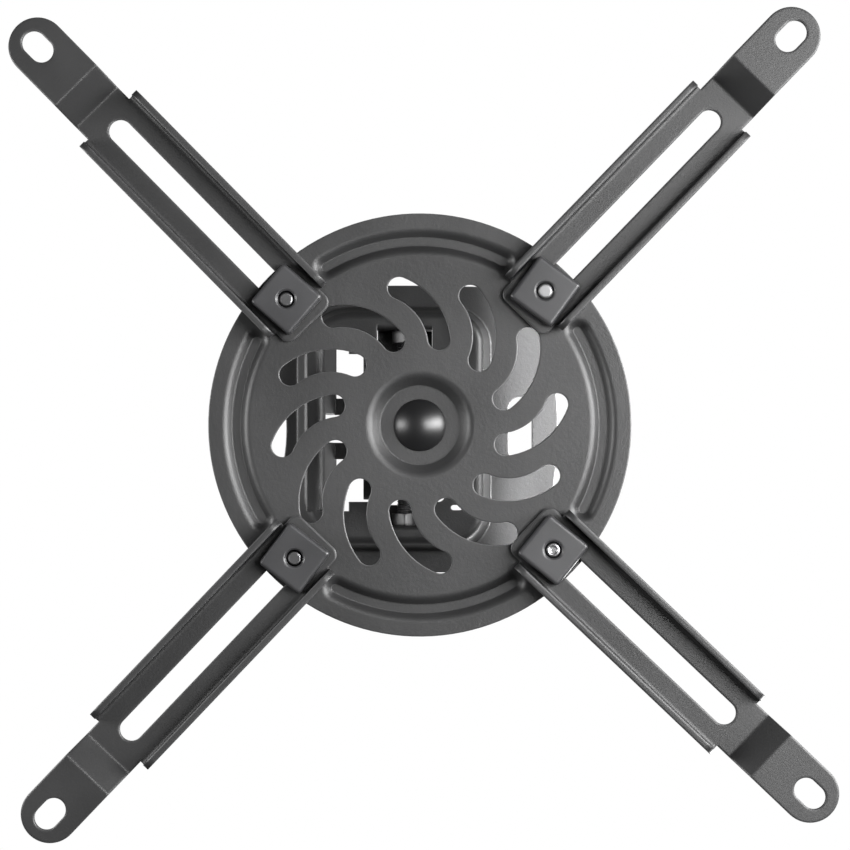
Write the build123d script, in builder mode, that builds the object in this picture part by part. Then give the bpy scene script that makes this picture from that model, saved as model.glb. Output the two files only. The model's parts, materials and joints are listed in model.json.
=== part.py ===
"""Universal projector ceiling mount with a tilting hanger and four slotted arms.

The frame has +Z up, and its origin is in the middle of the face that lies on the ceiling.
All sizes are in millimetres.
"""

import os
from math import cos, radians, sqrt, tan

from build123d import *

os.makedirs("parts", exist_ok=True)

# Sheet metal
plate_sheet = 2.0
arm_sheet = 2.0
fit_gap = 0.05
slide_gap = 0.05

# Ceiling plate: rim, cup and window
rim_length = 91.2
rim_left = 44.9
rim_right = 43.9
rim_right_radius = 124.0
rim_end_bulge = 1.2
rim_corner = 5.0
rim_hollow_radius = 60.0
rim_hollow_depth = 2.5
rim_hole_diameter = 5.0
rim_hole_spacing_x = 65.0
rim_hole_spacing_y = 80.0
side_slot_offset = 31.9
side_slot_width = 7.3
side_slot_length = 20.6
cup_left = 38.6
cup_right = 22.2
cup_length = 77.0
cup_depth = 20.0
cup_taper = 8.0
cup_left_corner = 17.0
cup_right_corner = 12.0
cup_foot_radius = 0.8
cup_shoulder_radius = 2.6
cup_mouth_radius = 2.5
window_left = 24.5
window_right = 7.8
window_length = 46.2
window_corner = 2.0
relief_right = 22.2
drain_x = 11.5
drain_y = 24.9
drain_width = 1.6
drain_length = 3.5

# Guide ear on the left edge of the window, with a forked lug
guide_foot = 30.2
guide_lean = 13.4
guide_height = 16.0
guide_length = 52.0
guide_bend = 3.2
guide_notch = 8.8
guide_notch_depth = 13.0
lug_length = 5.0
lug_span = 19.2

# Tilt axis: bolts, ears and nuts
pivot_offset = 4.7
pivot_drop = 13.0
pivot_thread = 5.0
pivot_ear_width = 17.2
pivot_ear_gap = 61.4
pivot_ear_top = 4.4
pivot_ear_bend = 1.6
pivot_return = 6.6
pivot_nut_width = 8.0
pivot_nut_height = 4.0
pivot_head_width = 8.0
pivot_head_height = 3.5
pivot_washer_diameter = 10.0
pivot_washer_thickness = 1.0
pivot_tip = 0.6

# Hanger
hanger_left = 17.1
hanger_right = 4.0
hanger_length = 44.8
hanger_drop = 39.0
hanger_ear_rise = 9.0
hanger_corner = 5.0
hanger_pad_radius = 12.0
hanger_bend = 3.0

# Swivel axis: domed bolt, washers and nut
swivel_thread = 6.0
dome_diameter = 16.0
dome_height = 3.6
neck_length = 1.9
friction_washer_diameter = 22.0
friction_washer_thickness = 1.0
centre_washer_diameter = 18.0
centre_washer_thickness = 1.6
spring_washer_diameter = 11.0
spring_washer_thickness = 1.6
spring_washer_split = 1.2
centre_nut_width = 10.0
centre_nut_height = 5.0
centre_bolt_tip = 2.0

# Spider plate
spider_diameter = 127.5
spider_turn = -1.8
recess_floor = 12.0
recess_mouth = 15.2
recess_depth = 3.0
recess_floor_radius = 1.8
recess_mouth_radius = 3.0
bead_inset = 8.35
bead_width = 6.4
bead_depth = 2.0
bead_taper = 43.5
bead_span = 58.0
bead_mouth_radius = 2.4
swirl_count = 12
swirl_width = 6.8
swirl_inner_radius = 26.6
swirl_inner_angle = -17.3
swirl_middle_angle = -27.1
swirl_inset = 13.6
swirl_outer_angle = -38.6

# Arms and their clamps
clamp_inset = 8.9
clamp_thread = 5.0
arm_turns = (0.35, 0.45, 2.2, 0.85)
nut_turns = (-4.6, -6.5, -4.7, -8.1)
screw_recesses = (0.6, 2.2, 1.4, 0.1)
channel_width = 24.0
channel_depth = 8.0
channel_start = -4.7
channel_end = 76.3
channel_bend = 3.0
flange_round = 3.5
tongue_length = 10.2
tongue_width = 18.6
tongue_round = 3.0
slot_travel = 71.3
slot_width = 7.0
neck_width = 17.4
joggle_start = 81.3
joggle_drop = 8.95
joggle_angle = 49.0
joggle_crease = 0.5
joggle_sweep = 9.5
tab_reach = 105.3
tab_hole_width = 7.1
tab_hole_length = 10.5
square_nut_size = 15.5
square_nut_height = 5.0
square_nut_corner = 1.2
square_nut_round = 1.0
square_nut_countersink = 0.55
clamp_head_diameter = 9.5
clamp_head_height = 3.2
clamp_drive = 4.0
clamp_drive_depth = 2.0
clamp_washer_diameter = 12.0
clamp_washer_thickness = 1.0

# Radii on the spider plate, worked out from its edge
bead_radius = spider_diameter / 2 - bead_inset
clamp_radius = spider_diameter / 2 - clamp_inset
swirl_outer_radius = bead_radius - swirl_inset
swirl_middle_radius = swirl_inner_radius + 0.581 * (swirl_outer_radius - swirl_inner_radius)

# Levels below the ceiling, worked out from the sizes above
pivot_z = -pivot_drop
hanger_base_z = pivot_z - hanger_drop
recess_top_z = hanger_base_z - friction_washer_thickness
recess_face_z = recess_top_z - plate_sheet
spider_face_z = recess_face_z - recess_depth
spider_top_z = spider_face_z + plate_sheet
arm_face_z = spider_face_z - slide_gap - arm_sheet
tab_face_z = arm_face_z - joggle_drop
clamp_turns = [45 + 90 * number + spider_turn for number in range(4)]


# Ceiling plate, drawn from the ceiling downwards
downwards = Plane(origin=(0, 0, 0), x_dir=(1, 0, 0), z_dir=(0, 0, -1))
wall_across = plate_sheet / cos(radians(cup_taper))
mouth_growth = plate_sheet * tan(radians(cup_taper)) - wall_across


def draw_cup(growth):
    """Outline of the cup, grown on every side, with larger corners on its left."""
    left = cup_left + growth
    right = cup_right + growth
    with Locations(((right - left) / 2, 0)):
        Rectangle(left + right, cup_length + 2 * growth)
    fillet(vertices().group_by(Axis.X)[0], cup_left_corner + growth)
    fillet(vertices().group_by(Axis.X)[-1], cup_right_corner + growth)


with BuildPart() as ceiling_plate:
    with BuildSketch(downwards):
        with BuildLine():
            corner_y = rim_length / 2 - rim_end_bulge
            right_x = rim_right - rim_right_radius + sqrt(rim_right_radius**2 - corner_y**2)
            end_x = (right_x - rim_left) / 2
            Line((-rim_left, corner_y), (-rim_left, -corner_y))
            ThreePointArc((-rim_left, -corner_y), (end_x, -rim_length / 2), (right_x, -corner_y))
            ThreePointArc((right_x, -corner_y), (rim_right, 0), (right_x, corner_y))
            ThreePointArc((right_x, corner_y), (end_x, rim_length / 2), (-rim_left, corner_y))
        make_face()
        fillet(vertices(), rim_corner)
        with Locations((rim_hollow_depth - rim_left - rim_hollow_radius, 0)):
            Circle(rim_hollow_radius, mode=Mode.SUBTRACT)
        with GridLocations(rim_hole_spacing_x, rim_hole_spacing_y, 2, 2):
            Circle(rim_hole_diameter / 2, mode=Mode.SUBTRACT)
        with Locations((side_slot_offset, 0)):
            SlotOverall(side_slot_length, side_slot_width, rotation=90, mode=Mode.SUBTRACT)
    extrude(amount=plate_sheet)

    # The cup, drawn down with tapered walls and rounded at its foot and shoulder
    with BuildSketch(downwards.offset(plate_sheet)):
        draw_cup(0)
    extrude(amount=cup_depth - plate_sheet, taper=cup_taper)
    fillet(faces().sort_by(Axis.Z)[0].outer_wire().edges(), cup_shoulder_radius)
    rim_face = faces().filter_by(lambda face: abs(face.center().Z + plate_sheet) < 0.01)[0]
    fillet(rim_face.inner_wires().sort_by(SortBy.LENGTH)[-1].edges(), cup_foot_radius)

    # Its hollow, open at the ceiling
    with BuildSketch(downwards):
        draw_cup(mouth_growth)
    extrude(amount=cup_depth - plate_sheet, taper=cup_taper, mode=Mode.SUBTRACT)
    ceiling_face = faces().sort_by(Axis.Z)[-1]
    fillet(ceiling_face.inner_wires().sort_by(SortBy.LENGTH)[-1].edges(), cup_mouth_radius)

    # The window in its floor, wider beside the guide ear and longer at the pivot ears
    with BuildSketch(downwards.offset(cup_depth - plate_sheet)):
        with Locations(((window_right - window_left) / 2, 0)):
            RectangleRounded(window_left + window_right, window_length, window_corner)
        relief_width = guide_foot - relief_right
        with Locations((relief_width / 2 - guide_foot, 0)):
            Rectangle(relief_width, guide_length)
        with Locations((-guide_foot, 0)):
            Rectangle(2 * (guide_bend + plate_sheet), guide_length)
        with Locations((-pivot_offset, 0)):
            Rectangle(pivot_ear_width, pivot_ear_gap)
        with Locations((drain_x, drain_y), (drain_x, -drain_y)):
            SlotOverall(drain_length, drain_width)
    extrude(amount=plate_sheet, mode=Mode.SUBTRACT)

    # Pivot ears, folded up from the ends of the window, with their tops turned inwards
    ear_face = pivot_ear_gap / 2
    with BuildSketch(Plane.XZ.offset(-ear_face)):
        with Locations((-pivot_offset, -(cup_depth + pivot_ear_top) / 2)):
            Rectangle(pivot_ear_width, cup_depth - pivot_ear_top)
        with Locations((-pivot_offset, pivot_z)):
            Circle(pivot_thread / 2 + fit_gap, mode=Mode.SUBTRACT)
    pivot_ear = extrude(amount=-plate_sheet)
    mirror(pivot_ear, about=Plane.XZ)
    with BuildSketch(Plane.XY.offset(-pivot_ear_top)):
        return_width = pivot_return + plate_sheet
        return_middle = ear_face + plate_sheet - return_width / 2
        with Locations((-pivot_offset, return_middle), (-pivot_offset, -return_middle)):
            Rectangle(pivot_ear_width, return_width)
    extrude(amount=-plate_sheet)
    fold_edges = edges().filter_by(Axis.X).group_by(Axis.Z)[0]
    fillet(fold_edges.filter_by(lambda edge: abs(abs(edge.center().Y) - ear_face) < 0.01), pivot_ear_bend)
    top_edges = edges().filter_by(Axis.X).filter_by(
        lambda edge: abs(edge.center().Z + pivot_ear_top) < 0.01
        and abs(abs(edge.center().Y) - ear_face - plate_sheet) < 0.01
    )
    fillet(top_edges, pivot_ear_bend)

    # Guide ear, folded up from the left edge of the window and leaning inwards
    guide_run = guide_height * tan(radians(guide_lean))
    guide_top_z = guide_height - cup_depth
    with BuildSketch(Plane.XZ):
        with BuildLine():
            Polyline(
                (-guide_foot - guide_bend - plate_sheet, -cup_depth),
                (-guide_foot, -cup_depth),
                (-guide_foot + guide_run, guide_top_z),
                (-guide_foot + guide_run - plate_sheet, guide_top_z),
                (-guide_foot - plate_sheet + 0.4, plate_sheet - cup_depth),
                (-guide_foot - guide_bend - plate_sheet, plate_sheet - cup_depth),
                close=True,
            )
        make_face()
        fillet(vertices().filter_by(lambda point: abs(point.X + guide_foot) < 0.01), guide_bend)
    extrude(amount=guide_length / 2, both=True)

    # Its forked lug, and the notch through both
    lug_root = -guide_foot + guide_run - plate_sheet
    with BuildSketch(Plane.XY.offset(guide_top_z)):
        with Locations((lug_root + (lug_length + plate_sheet) / 2, 0)):
            Rectangle(lug_length + plate_sheet, lug_span)
    extrude(amount=-plate_sheet)
    with BuildSketch(Plane.XY.offset(guide_top_z)):
        with Locations((lug_root, 0)):
            Rectangle(2 * (lug_length + plate_sheet), guide_notch)
    extrude(amount=-guide_notch_depth, mode=Mode.SUBTRACT)
ceiling_plate.part.label = "ceiling_plate"
export_step(ceiling_plate.part, "parts/ceiling_plate.step")


# Hanger: a U bracket that hangs on the two pivot bolts
leg_face = hanger_length / 2
leg_middle = (hanger_right - hanger_left) / 2
with BuildPart() as hanger:
    with BuildSketch(Plane.XY.offset(hanger_base_z)):
        with Locations((leg_middle, 0)):
            Rectangle(hanger_left + hanger_right, hanger_length)
        Circle(hanger_pad_radius)
        Circle(swivel_thread / 2 + fit_gap, mode=Mode.SUBTRACT)
    extrude(amount=plate_sheet)
    with BuildSketch(Plane.XZ.offset(-leg_face)):
        with Locations((leg_middle, (hanger_base_z + pivot_z + hanger_ear_rise) / 2)):
            Rectangle(hanger_left + hanger_right, hanger_drop + hanger_ear_rise)
        fillet(vertices().group_by(Axis.Y)[-1], hanger_corner)
        with Locations((-pivot_offset, pivot_z)):
            Circle(pivot_thread / 2 + fit_gap, mode=Mode.SUBTRACT)
    leg = extrude(amount=plate_sheet)
    mirror(leg, about=Plane.XZ)
    along_legs = edges().filter_by(Axis.X)
    outer_folds = along_legs.group_by(Axis.Z)[0]
    fillet(outer_folds, hanger_bend)
    inner_folds = edges().filter_by(Axis.X).filter_by(
        lambda edge: abs(edge.center().Z - hanger_base_z - plate_sheet) < 0.01
    )
    fillet(inner_folds, hanger_bend - plate_sheet)
hanger.part.label = "hanger"
export_step(hanger.part, "parts/hanger.step")


# Pivot bolts: the head lies inside the hanger, and the thread runs out through leg, nut and ear
washer_face = leg_face - plate_sheet - fit_gap - pivot_washer_thickness
bolt_end = ear_face + plate_sheet + pivot_tip
for number, side in ((1, -1), (2, 1)):
    outwards = Plane(origin=(-pivot_offset, 0, pivot_z), x_dir=(1, 0, 0), z_dir=(0, side, 0))

    with BuildPart() as pivot_bolt:
        with BuildSketch(outwards.offset(washer_face - pivot_head_height)):
            RegularPolygon(pivot_head_width / 2, 6, major_radius=False)
        extrude(amount=pivot_head_height)
        with BuildSketch(outwards.offset(washer_face)):
            Circle(pivot_thread / 2)
        extrude(amount=bolt_end - washer_face)
        chamfer(edges().sort_by(Axis((0, 0, 0), (0, side, 0)))[-1], 0.4)
    pivot_bolt.part.label = f"pivot_bolt_{number}"
    export_step(pivot_bolt.part, f"parts/pivot_bolt_{number}.step")

    with BuildPart() as pivot_washer:
        with BuildSketch(outwards.offset(washer_face)):
            Circle(pivot_washer_diameter / 2)
            Circle(pivot_thread / 2 + fit_gap, mode=Mode.SUBTRACT)
        extrude(amount=pivot_washer_thickness)
    pivot_washer.part.label = f"pivot_washer_{number}"
    export_step(pivot_washer.part, f"parts/pivot_washer_{number}.step")

    with BuildPart() as pivot_nut:
        with BuildSketch(outwards.offset(ear_face - pivot_nut_height)):
            RegularPolygon(pivot_nut_width / 2, 6, major_radius=False)
            Circle(pivot_thread / 2 + fit_gap, mode=Mode.SUBTRACT)
        extrude(amount=pivot_nut_height)
    pivot_nut.part.label = f"pivot_nut_{number}"
    export_step(pivot_nut.part, f"parts/pivot_nut_{number}.step")


# Spider plate: its section turned about the swivel axis, with the middle pressed up
recess_slope = Vector(recess_mouth - recess_floor, -recess_depth)
recess_shift = plate_sheet * recess_slope.X / (recess_slope.length + recess_depth)
with BuildPart() as spider_plate:
    with BuildSketch(Plane.XZ):
        with BuildLine():
            Polyline(
                (0, recess_face_z),
                (recess_floor, recess_face_z),
                (recess_mouth, spider_face_z),
                (spider_diameter / 2, spider_face_z),
                (spider_diameter / 2, spider_top_z),
                (recess_mouth + plate_sheet - recess_shift, spider_top_z),
                (recess_floor + plate_sheet - recess_shift, recess_top_z),
                (0, recess_top_z),
                close=True,
            )
        make_face()
        points = vertices().sort_by(Axis.X)[2:6]
        fillet(points.sort_by(Axis.Y)[0], recess_mouth_radius)
        fillet(points.sort_by(Axis.Y)[-1], recess_floor_radius + plate_sheet)
        fillet(points.sort_by(Axis.Y)[1], recess_mouth_radius - plate_sheet)
        fillet(points.sort_by(Axis.Y)[2], recess_floor_radius)
    revolve(axis=Axis.Z)

    # Arc beads, pressed up between the arms
    wall_shift = plate_sheet * (1 / cos(radians(bead_taper)) - tan(radians(bead_taper)))
    bead_turns = [90 * number + spider_turn for number in range(4)]
    with BuildSketch(Plane.XY.offset(spider_top_z)):
        for turn in bead_turns:
            with BuildLine(mode=Mode.PRIVATE) as bead_line:
                CenterArc((0, 0), bead_radius, turn - bead_span / 2, bead_span)
            SlotArc(bead_line.wire(), bead_width + 2 * wall_shift)
    extrude(amount=bead_depth, taper=bead_taper)
    with BuildSketch(Plane.XY.offset(spider_face_z)):
        for turn in bead_turns:
            with BuildLine(mode=Mode.PRIVATE) as bead_line:
                CenterArc((0, 0), bead_radius, turn - bead_span / 2, bead_span)
            SlotArc(bead_line.wire(), bead_width)
    extrude(amount=bead_depth, taper=bead_taper, mode=Mode.SUBTRACT)
    lower_face = faces().sort_by(Axis.Z)[0]
    fillet(lower_face.inner_wires().sort_by(SortBy.LENGTH)[-4:].edges(), bead_mouth_radius)

    # The swirl of slots, the square hole of the swivel bolt and the round holes of the clamp screws
    with BuildSketch(Plane.XY.offset(spider_face_z)):
        with BuildLine(mode=Mode.PRIVATE) as swirl_line:
            ThreePointArc(
                Vector(swirl_inner_radius, 0).rotate(Axis.Z, swirl_inner_angle),
                Vector(swirl_middle_radius, 0).rotate(Axis.Z, swirl_middle_angle),
                Vector(swirl_outer_radius, 0).rotate(Axis.Z, swirl_outer_angle),
            )
        with PolarLocations(0, swirl_count):
            SlotArc(swirl_line.wire(), swirl_width)
        Rectangle(swivel_thread + 2 * fit_gap, swivel_thread + 2 * fit_gap)
        with PolarLocations(clamp_radius, 4, start_angle=clamp_turns[0]):
            Circle(clamp_thread / 2 + fit_gap)
    extrude(amount=recess_depth + plate_sheet, mode=Mode.SUBTRACT)
spider_plate.part.label = "spider_plate"
export_step(spider_plate.part, "parts/spider_plate.step")


# Swivel bolt: a low dome, a square neck in the spider plate and a round shank
with BuildPart() as centre_bolt:
    with BuildSketch(Plane.XZ):
        with BuildLine():
            dome_sphere = (dome_diameter**2 / 4 + dome_height**2) / (2 * dome_height)
            dome_low = recess_face_z - dome_height
            RadiusArc((0, dome_low), (dome_diameter / 2, recess_face_z), -dome_sphere)
            Polyline((dome_diameter / 2, recess_face_z), (0, recess_face_z), (0, dome_low))
        make_face()
    revolve(axis=Axis.Z)
    with BuildSketch(Plane.XY.offset(recess_face_z)):
        Rectangle(swivel_thread, swivel_thread)
    extrude(amount=neck_length)
    nut_base_z = hanger_base_z + plate_sheet + centre_washer_thickness + spring_washer_thickness
    with BuildSketch(Plane.XY.offset(recess_face_z)):
        Circle(swivel_thread / 2)
    extrude(amount=nut_base_z + centre_nut_height + centre_bolt_tip - recess_face_z)
    chamfer(edges().sort_by(Axis.Z)[-1], 0.6)
centre_bolt.part.label = "centre_bolt"
export_step(centre_bolt.part, "parts/centre_bolt.step")

with BuildPart() as friction_washer:
    with BuildSketch(Plane.XY.offset(recess_top_z)):
        Circle(friction_washer_diameter / 2)
        Circle(swivel_thread / 2 + fit_gap, mode=Mode.SUBTRACT)
    extrude(amount=friction_washer_thickness)
friction_washer.part.label = "friction_washer"
export_step(friction_washer.part, "parts/friction_washer.step")

with BuildPart() as centre_washer:
    with BuildSketch(Plane.XY.offset(hanger_base_z + plate_sheet)):
        Circle(centre_washer_diameter / 2)
        Circle(swivel_thread / 2 + fit_gap, mode=Mode.SUBTRACT)
    extrude(amount=centre_washer_thickness)
centre_washer.part.label = "centre_washer"
export_step(centre_washer.part, "parts/centre_washer.step")

with BuildPart() as centre_spring_washer:
    with BuildSketch(Plane.XY.offset(nut_base_z - spring_washer_thickness)):
        Circle(spring_washer_diameter / 2)
        Circle(swivel_thread / 2 + fit_gap, mode=Mode.SUBTRACT)
        with Locations((spring_washer_diameter / 2, 0)):
            Rectangle(spring_washer_diameter, spring_washer_split, mode=Mode.SUBTRACT)
    extrude(amount=spring_washer_thickness)
centre_spring_washer.part.label = "centre_spring_washer"
export_step(centre_spring_washer.part, "parts/centre_spring_washer.step")

with BuildPart() as centre_nut:
    with BuildSketch(Plane.XY.offset(nut_base_z)):
        RegularPolygon(centre_nut_width / 2, 6, major_radius=False)
        Circle(swivel_thread / 2 + fit_gap, mode=Mode.SUBTRACT)
    extrude(amount=centre_nut_height)
centre_nut.part.label = "centre_nut"
export_step(centre_nut.part, "parts/centre_nut.step")


# Arms: each one is drawn outwards from its clamp screw, with its clamp on the same spot
joggle_run = joggle_drop / tan(radians(joggle_angle))
crease_shift = arm_sheet * tan(radians(joggle_angle / 2))
flange_inner = channel_width / 2 - arm_sheet
for number, clamp_turn in enumerate(clamp_turns):
    clamp_spot = Vector(clamp_radius, 0).rotate(Axis.Z, clamp_turn)
    arm_turn = clamp_turn + arm_turns[number]
    arm_dir = Vector(1, 0).rotate(Axis.Z, arm_turn)
    along_arm = Plane(origin=clamp_spot, x_dir=arm_dir, z_dir=(0, 0, 1))
    beside_arm = Plane(origin=clamp_spot, x_dir=arm_dir, z_dir=arm_dir.cross(Vector(0, 0, 1)))
    across_arm = Plane(
        origin=clamp_spot + arm_dir * channel_start,
        x_dir=Vector(0, 0, 1).cross(arm_dir),
        z_dir=arm_dir,
    )

    with BuildPart() as arm:
        # The strip, folded down at the joggle
        with BuildSketch(beside_arm):
            tip = tab_reach + neck_width / 2
            with BuildLine():
                Polyline(
                    (-tongue_length, arm_face_z),
                    (joggle_start, arm_face_z),
                    (joggle_start + joggle_run, tab_face_z),
                    (tip, tab_face_z),
                    (tip, tab_face_z + arm_sheet),
                    (joggle_start + joggle_run + crease_shift, tab_face_z + arm_sheet),
                    (joggle_start + crease_shift, arm_face_z + arm_sheet),
                    (-tongue_length, arm_face_z + arm_sheet),
                    close=True,
                )
            make_face()
            bends = vertices().sort_by(Axis.X)[2:6]
            fillet(bends[0], joggle_crease)
            fillet(bends[1], joggle_crease + arm_sheet)
            fillet(bends[2], joggle_sweep)
            fillet(bends[3], joggle_sweep - arm_sheet)
        extrude(amount=channel_width / 2, both=True)

        # Its outline from below
        with BuildSketch(along_arm.offset(tab_face_z)):
            with Locations(((channel_end - tongue_length) / 2, 0)):
                Rectangle(channel_end + tongue_length, tongue_width)
            fillet(vertices().group_by(Axis.X)[0], tongue_round)
            with Locations(((channel_end + tab_reach) / 2, 0)):
                Rectangle(tab_reach - channel_end, neck_width)
            with Locations((tab_reach, 0)):
                Circle(neck_width / 2)
        extrude(amount=arm_face_z + arm_sheet - tab_face_z, mode=Mode.INTERSECT)

        # The two flanges, bent down from a flat as wide as the channel
        flange_low = arm_face_z + arm_sheet - channel_depth
        with BuildSketch(across_arm):
            with Locations((0, flange_low + channel_depth / 2)):
                Rectangle(channel_width, channel_depth)
            fillet(vertices().group_by(Axis.Y)[-1], channel_bend)
        extrude(amount=channel_end - channel_start)
        with BuildSketch(across_arm):
            with Locations((0, flange_low)):
                Rectangle(2 * flange_inner, 2 * (arm_face_z - flange_low))
            fillet(vertices().group_by(Axis.Y)[-1], channel_bend - arm_sheet)
        extrude(amount=channel_end - channel_start, mode=Mode.SUBTRACT)
        flange_ends = edges().filter_by(
            lambda edge: abs(edge.center().Z - flange_low) < 0.01 and edge.length < 2 * arm_sheet
        )
        fillet(flange_ends, flange_round)

        # The long slot and the hole for the projector's screw
        with BuildSketch(along_arm.offset(tab_face_z)):
            with Locations((slot_travel / 2, 0)):
                SlotCenterToCenter(slot_travel, slot_width)
            with Locations((tab_reach, 0)):
                SlotOverall(tab_hole_length, tab_hole_width)
        extrude(amount=joggle_drop + arm_sheet, mode=Mode.SUBTRACT)
    arm.part.label = f"arm_{number + 1}"
    export_step(arm.part, f"parts/arm_{number + 1}.step")

    # Square nut under the arm
    nut_dir = arm_dir.rotate(Axis.Z, nut_turns[number])
    nut_plane = Plane(origin=clamp_spot, x_dir=nut_dir, z_dir=(0, 0, 1)).offset(arm_face_z)
    with BuildPart() as square_nut:
        with BuildSketch(nut_plane):
            RectangleRounded(square_nut_size, square_nut_size, square_nut_corner)
        extrude(amount=-square_nut_height)
        fillet(faces().sort_by(Axis.Z)[0].outer_wire().edges(), square_nut_round)
        with BuildSketch(nut_plane):
            Circle(clamp_thread / 2 + fit_gap)
        extrude(amount=-square_nut_height, mode=Mode.SUBTRACT)
        chamfer(faces().sort_by(Axis.Z)[0].inner_wires()[0].edges(), square_nut_countersink)
    square_nut.part.label = f"square_nut_{number + 1}"
    export_step(square_nut.part, f"parts/square_nut_{number + 1}.step")

    # Washer and screw from above
    with BuildPart() as clamp_washer:
        with BuildSketch(nut_plane.offset(spider_top_z - arm_face_z)):
            Circle(clamp_washer_diameter / 2)
            Circle(clamp_thread / 2 + fit_gap, mode=Mode.SUBTRACT)
        extrude(amount=clamp_washer_thickness)
    clamp_washer.part.label = f"clamp_washer_{number + 1}"
    export_step(clamp_washer.part, f"parts/clamp_washer_{number + 1}.step")

    head_base = spider_top_z + clamp_washer_thickness - arm_face_z
    shank_length = square_nut_height - screw_recesses[number] + head_base
    with BuildPart() as clamp_screw:
        with BuildSketch(nut_plane.offset(head_base)):
            Circle(clamp_head_diameter / 2)
        extrude(amount=clamp_head_height)
        chamfer(edges().sort_by(Axis.Z)[-1], 0.8)
        with BuildSketch(nut_plane.offset(head_base + clamp_head_height)):
            RegularPolygon(clamp_drive / 2, 6, major_radius=False)
        extrude(amount=-clamp_drive_depth, mode=Mode.SUBTRACT)
        with BuildSketch(nut_plane.offset(head_base)):
            Circle(clamp_thread / 2)
        extrude(amount=-shank_length)
        chamfer(edges().sort_by(Axis.Z)[0], 0.5)
    clamp_screw.part.label = f"clamp_screw_{number + 1}"
    export_step(clamp_screw.part, f"parts/clamp_screw_{number + 1}.step")
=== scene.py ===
"""Looks of a projector ceiling mount, built around its CAD frame."""

import json
import math

import bpy
from mathutils import Matrix, Vector


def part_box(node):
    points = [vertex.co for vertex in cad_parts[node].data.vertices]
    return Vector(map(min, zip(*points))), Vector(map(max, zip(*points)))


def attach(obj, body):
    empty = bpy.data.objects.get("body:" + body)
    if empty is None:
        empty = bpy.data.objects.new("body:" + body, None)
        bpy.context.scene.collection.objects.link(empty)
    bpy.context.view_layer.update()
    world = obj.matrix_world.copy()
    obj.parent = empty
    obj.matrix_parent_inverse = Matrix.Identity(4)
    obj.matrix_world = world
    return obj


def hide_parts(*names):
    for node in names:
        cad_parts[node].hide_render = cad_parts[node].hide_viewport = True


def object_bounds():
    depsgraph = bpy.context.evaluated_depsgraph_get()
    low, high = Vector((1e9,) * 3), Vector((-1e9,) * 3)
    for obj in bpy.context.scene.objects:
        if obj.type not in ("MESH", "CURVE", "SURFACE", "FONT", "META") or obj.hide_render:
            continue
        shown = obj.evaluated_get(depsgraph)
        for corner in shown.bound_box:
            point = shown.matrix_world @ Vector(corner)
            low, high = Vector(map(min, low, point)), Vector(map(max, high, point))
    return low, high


bl_info = {
    "name": "Projector Ceiling Mount",
    "version": (1, 0, 0),
    "blender": (4, 5, 0),
    "location": "View3D > Sidebar > Mount",
    "description": "Fasteners, finishes and a studio for a projector ceiling mount",
    "category": "Object",
}

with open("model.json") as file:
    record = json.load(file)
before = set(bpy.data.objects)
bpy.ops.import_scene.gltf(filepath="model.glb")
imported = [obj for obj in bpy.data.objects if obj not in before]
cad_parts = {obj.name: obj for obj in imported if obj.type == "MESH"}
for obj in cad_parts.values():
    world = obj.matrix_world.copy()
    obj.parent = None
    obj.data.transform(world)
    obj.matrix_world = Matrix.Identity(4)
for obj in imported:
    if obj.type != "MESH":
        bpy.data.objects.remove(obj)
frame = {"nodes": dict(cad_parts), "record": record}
CAD_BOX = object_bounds()
MM = 0.001

# Slack for choosing edges and faces by their place, and how squarely a face has to look up
TINY = 0.001 * MM
FACING_UP = 0.99

# Sides of round pieces, and the angle above which an edge stays sharp
HEAD_SIDES = 48
ROD_SIDES = 32
SHARP_ANGLE = math.radians(30)

# A thread's ridge in pitches, its steps to a turn, and its core's radius in thread diameters
RIDGE_DEPTH = 0.55
RIDGE_HALF_FOOT = 0.44
RIDGE_STEPS = 24
LEAST_TURNS = 2
SMALL_CORE = 0.44
SWIVEL_CORE = 0.46

# Swivel bolt
DOME_SEGMENTS = 64
DOME_RINGS = 48
DOME_ROUNDING = 0.35 * MM
NECK_ROUNDING = 0.5 * MM
NECK_GAP = 0.1 * MM
SWIVEL_TIP_RING = 0.4 * MM
SWIVEL_THREAD_START = 0.4 * MM
SWIVEL_THREAD_MARGIN = 1.2 * MM

# Pivot bolts and nuts
PIVOT_HEAD = 3.5 * MM
PIVOT_TIP = 0.3 * MM
PIVOT_THREAD_START = 0.5 * MM
PIVOT_THREAD_MARGIN = 1.4 * MM
NUT_CLEARANCE = 0.05 * MM

# How far the round that trims a hexagon reaches past its corners
CORNER_REACH = 1.002

# Clamp screws
CLAMP_ROUNDING = 0.9 * MM
SOCKET_RADIUS = 2.3 * MM
SOCKET_HEIGHT = 4 * MM
CLAMP_TIP = 0.4 * MM
CLAMP_THREAD_START = 2.2 * MM
CLAMP_THREAD_MARGIN = 3.0 * MM
DIMPLE_RIM = 0.5 * MM
DIMPLE_SLOPE = 0.25 * MM
DIMPLE_DEPTH = 0.22 * MM

# Coarse grain's scale as a share of the fine grain's, and the fine grain's share of the height
COARSE_SCALE = 0.37
FINE_SHARE = 0.65

# Scales of the drift in tone and of the worn patches, in features to a metre
DRIFT_SCALE = 35.0
PATCH_SCALE = 260.0

# Edges, with their wear and painted highlights, bumps and shine that all finishes share
WEAR_AND_HIGHLIGHT_GAIN = 3.0
ROUND_EDGE = 0.65 * MM
BEVEL_SAMPLES = 8
BUMP_DISTANCE = 0.12 * MM
SPECULAR_LEVEL = 0.75

# Tones of a finish, as shares of its colour, with the tone of painted shade in folds, and how drift, wear
# and folds change its roughness
DEEP_TONE = 0.86
PALE_TONE = 1.16
PAINTED_SHADE_TONE = 0.3
SMOOTHEST = 0.92
ROUGHEST = 1.08
RUBBED_ROUGHNESS = -0.08
CAVITY_ROUGHNESS = 0.25
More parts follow.
